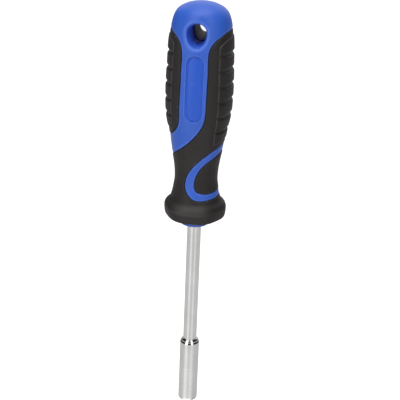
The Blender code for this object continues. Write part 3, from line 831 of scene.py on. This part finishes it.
def black_soft(name, lift=1.0):
    m = Nodes(name)
    cloud = m.noise(110.0, 4.0)
    grain = m.noise(3400.0, 3.0, 0.6)
    # A lift above 1 lightens the rubber as painted light, standing in for light reaching into the hang hole
    dark, pale = ((c * lift for c in tone) for tone in ((0.0200, 0.0172, 0.0165), (0.0245, 0.0214, 0.0206)))
    colour = m.ramp(cloud, [(0.3, tuple(dark)), (0.7, tuple(pale))])
    if lift > 1:
        # Painted shade: a dark blue at the lining's front
        colour = m.mix(m.mark("painted_blue_fade"), colour, (0.045, 0.06, 0.26))
    wear_and_highlight = m.mix(m.edges(0.52, 0.60), colour, (0.05, 0.046, 0.044))
    # Painted highlight: paler pad ends and a paler band on the guard's rim
    wear_and_highlight = m.mix(m.maths("MULTIPLY", m.mark("painted_highlight"), m.span(cloud, 0.6, 1.0)), wear_and_highlight, (0.062, 0.057, 0.055))
    m.set(
        Base_Color=wear_and_highlight,
        Roughness=m.span(m.noise(600.0, 5.0), 0.44, 0.58),
        Normal=m.bump(grain, 0.22, 0.00006, m.bump(cloud, 0.06, 0.0002)),
        IOR=1.48,
        Specular_IOR_Level=0.3,
    )
    return m.material


def satin_metal(name, colour, rough, scale=(1.0, 1.0, 1.0), polished=None):
    """Plated metal with fine drawn or turned lines; a polished stretch along the tool may be smoother."""
    m = Nodes(name)
    lines = m.noise(1.0, 4.0, 0.6, m.stretched(scale))
    cloud = m.noise(90.0, 4.0)
    tint = m.mix(m.span(cloud, 0.0, 1.0), tuple(c * 0.94 for c in colour), tuple(min(1.0, c * 1.04) for c in colour))
    wear_and_highlight = m.mix(m.edges(0.53, 0.62), tint, tuple(min(1.0, c * 1.12) for c in colour))
    m.set(
        Base_Color=wear_and_highlight,
        Metallic=1.0,
        Roughness=m.span(lines, rough - 0.05, rough + 0.07),
        Normal=m.bump(lines, 0.06, 0.00003),
        Specular_Tint=(0.98, 0.98, 0.97, 1.0),
    )
    if polished:
        start, stop = ((MIDDLE - z) * MM for z in polished)
        split = m.tree.nodes.new("ShaderNodeSeparateXYZ")
        m.link(m.place, split.inputs[0])
        inside = m.maths("MULTIPLY", m.maths("GREATER_THAN", split.outputs[0], stop), m.maths("LESS_THAN", split.outputs[0], start))
        keep = m.maths("MULTIPLY_ADD", inside, -0.85, 1.0)
        m.set(Roughness=m.maths("MULTIPLY", m.span(lines, rough - 0.05, rough + 0.07), keep))
    return m.material


# ---------------------------------------------------------------- assembly

blue = blue_plastic()
pieces = [
    (make_core(), "handle_core", "hard_plastic_blue", blue),
    (make_grip("sleeve_grip", in_sleeve), "grip_sleeve", "soft_grip_black", black_soft("soft_sleeve")),
    (make_grip("left_grip", in_left), "grip_panel_left", "soft_grip_black", black_soft("soft_left")),
    (make_grip("inset_grip", in_inset), "grip_inset", "soft_grip_black", black_soft("soft_inset")),
    # The lining is painted seven times lighter than the grips, as painted light inside the hang hole
    (make_liner(), "hang_hole_liner", "soft_grip_black", black_soft("soft_lining", 7.0)),
    (make_shaft(), "blade_shaft", "blade_steel", satin_metal("blade_chrome", (0.81, 0.81, 0.80), 0.2, (400.0, 6000.0, 6000.0))),
    (make_socket(), "bit_socket", "socket_steel", satin_metal("socket_chrome", (0.79, 0.79, 0.78), 0.26, (6000.0, 500.0, 500.0), (SHOULDER_Z - 0.1, SOCKET_TOP + 0.1))),
    (make_magnet(), "magnet", "magnet_metal", satin_metal("magnet_plate", (0.47, 0.47, 0.48), 0.36, (2500.0, 2500.0, 2500.0))),
    (make_ring(), "retaining_ring", "spring_steel", satin_metal("spring_wire", (0.5, 0.5, 0.5), 0.3, (3000.0, 3000.0, 3000.0))),
]
for piece, node, slot, finish in pieces:
    piece.data.materials.clear()
    piece.data.materials.append(finish)
    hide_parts(node)
    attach(piece, "root")

# ---------------------------------------------------------------- stage

floor_mesh = bpy.data.meshes.new("floor")
floor_mesh.from_pydata([(-3, -3, -0.0003), (3, -3, -0.0003), (3, 3, -0.0003), (-3, 3, -0.0003)], [], [(0, 1, 2, 3)])
floor = bpy.data.objects.new("floor", floor_mesh)
bpy.context.scene.collection.objects.link(floor)
paper = bpy.data.materials.new("white_paper")
paper.use_nodes = True
sheet = paper.node_tree.nodes["Principled BSDF"]
sheet.inputs["Base Color"].default_value = (0.35, 0.35, 0.35, 1.0)
sheet.inputs["Roughness"].default_value = 0.9
sheet.inputs["Emission Color"].default_value = (1.0, 1.0, 1.0, 1.0)
sheet.inputs["Emission Strength"].default_value = 1.0
floor_mesh.materials.append(paper)
# The white sweep round the tool lights it, so the paper itself only shows
floor.visible_diffuse = floor.visible_glossy = floor.visible_shadow = floor.visible_transmission = False


def towards(azimuth, elevation):
    """A direction seen from the tool: azimuth from the front to the right side, elevation to the handle end."""
    a, e = math.radians(azimuth), math.radians(elevation)
    return (-math.sin(e), math.cos(e) * math.sin(a), math.cos(e) * math.cos(a))


class Sky:
    """Soft studio light all round: a white sweep at the tip end, a dim room at the handle end, soft boxes in front."""

    def __init__(self):
        self.world = bpy.data.worlds.new("studio")
        self.world.use_nodes = True
        self.tree = self.world.node_tree
        self.way = self.tree.nodes.new("ShaderNodeTexCoord").outputs["Generated"]

    def link(self, a, b):
        self.tree.links.new(a, b)

    def maths(self, operation, *values):
        node = self.tree.nodes.new("ShaderNodeMath")
        node.operation = operation
        for socket, value in zip(node.inputs, values):
            if isinstance(value, bpy.types.NodeSocket):
                self.link(value, socket)
            else:
                socket.default_value = value
        return node.outputs[0]

    def along(self, direction):
        node = self.tree.nodes.new("ShaderNodeVectorMath")
        node.operation = "DOT_PRODUCT"
        self.link(self.way, node.inputs[0])
        node.inputs[1].default_value = direction
        return node.outputs["Value"]

    def ease(self, source, start, stop, low, high):
        node = self.tree.nodes.new("ShaderNodeMapRange")
        node.interpolation_type = "SMOOTHSTEP"
        for name, value in (("From Min", start), ("From Max", stop), ("To Min", low), ("To Max", high)):
            node.inputs[name].default_value = value
        self.link(source, node.inputs["Value"])
        return node.outputs["Result"]

    def spot(self, azimuth, elevation, inner, outer, strength):
        cosine = self.along(towards(azimuth, elevation))
        return self.ease(cosine, math.cos(math.radians(outer)), math.cos(math.radians(inner)), 0.0, strength)

    def strip(self, azimuth, inner, outer, strength):
        """A tall soft box upright in front of the tool."""
        a = math.radians(azimuth)
        off = self.maths("ABSOLUTE", self.along((0.0, math.cos(a), -math.sin(a))))
        band = self.ease(off, math.sin(math.radians(inner)), math.sin(math.radians(outer)), strength, 0.0)
        facing = self.ease(self.along(towards(azimuth, 0.0)), 0.1, 0.4, 0.0, 1.0)
        return self.maths("MULTIPLY", band, facing)


sky = Sky()
handle_way = sky.along((-1.0, 0.0, 0.0))
front_way = sky.along((0.0, 0.0, 1.0))
sweep = sky.maths("MULTIPLY", sky.ease(handle_way, SWEEP_FROM, SWEEP_TO, SWEEP, 0.0), sky.ease(front_way, -0.6, 0.1, BEHIND, 1.0))
beyond = sky.maths("MAXIMUM", sky.ease(handle_way, -0.75, -0.6, 1.0, 0.0), sky.ease(handle_way, -0.28, -0.1, 0.0, 1.0))
beyond = sky.maths("MULTIPLY", beyond, sky.ease(front_way, 0.2, 0.75, 1.0, 0.0))
sweep = sky.maths("MULTIPLY", sweep, sky.maths("MULTIPLY_ADD", beyond, BESIDE - 1.0, 1.0))
light = sky.maths("ADD", sweep, sky.ease(handle_way, SWEEP_FROM, SWEEP_TO, 0.0, ROOM))
tip = sky.maths("MULTIPLY", sky.ease(handle_way, -0.75, -0.55, TIP_LIGHT, 0.0), sky.ease(front_way, 0.1, 0.5, 0.0, 1.0))
light = sky.maths("ADD", light, tip)
light = sky.maths("ADD", light, sky.ease(handle_way, TOP_LIGHT[0], TOP_LIGHT[1], 0.0, TOP_LIGHT[2]))
for azimuth, inner, outer, strength, low in STRIPS:
    grow = sky.ease(handle_way, -0.45, 0.25, low, strength)
    light = sky.maths("ADD", light, sky.maths("MULTIPLY", sky.strip(azimuth, inner, outer, 1.0), grow))
for box in BOXES:
    light = sky.maths("ADD", light, sky.spot(*box))
light = sky.maths("MULTIPLY", light, sky.maths("SUBTRACT", 1.0, sky.spot(*GAP_IN_FRONT)))
# The backdrop itself is plain white
path = sky.tree.nodes.new("ShaderNodeLightPath")
seen = sky.maths("MULTIPLY_ADD", path.outputs["Is Camera Ray"], sky.maths("SUBTRACT", 1.0, light), light)
background = sky.tree.nodes["Background"]
background.inputs["Color"].default_value = (1.0, 1.0, 1.0, 1.0)
sky.link(seen, background.inputs["Strength"])
bpy.context.scene.world = sky.world

# Camera at the photograph's angle: 400 x 400 image, 952 pixels of focal length
TILT, YAW, ROLL = math.radians(21.3), math.radians(9.7), math.radians(2.37)
FOCAL, AWAY, AIM_Z, AIM_X = 952.0, 488.4, 116.6, 195.2
back = Vector((-math.sin(TILT), math.cos(TILT) * math.sin(YAW), math.cos(TILT) * math.cos(YAW)))
right = Vector((0.0, math.cos(YAW), -math.sin(YAW)))
up = back.cross(right)
right, up = math.cos(ROLL) * right + math.sin(ROLL) * up, -math.sin(ROLL) * right + math.cos(ROLL) * up
aim = Vector((MIDDLE - AIM_Z, 0.0, AXIS_HEIGHT))
spot = aim + AWAY * back - ((AIM_X - 200.0) / FOCAL * AWAY) * right
camera_data = bpy.data.cameras.new("camera")
camera_data.sensor_width = 36.0
camera_data.lens = FOCAL / 400.0 * 36.0
camera_data.clip_start = 0.01
camera = bpy.data.objects.new("camera", camera_data)
bpy.context.scene.collection.objects.link(camera)
camera.matrix_world = Matrix(
    (
        (right.x, up.x, back.x, spot.x * MM),
        (right.y, up.y, back.y, spot.y * MM),
        (right.z, up.z, back.z, spot.z * MM),
        (0.0, 0.0, 0.0, 1.0),
    )
)
bpy.context.scene.camera = camera
bpy.context.scene.view_settings.view_transform = "Standard"
bpy.context.scene.view_settings.look = "None"
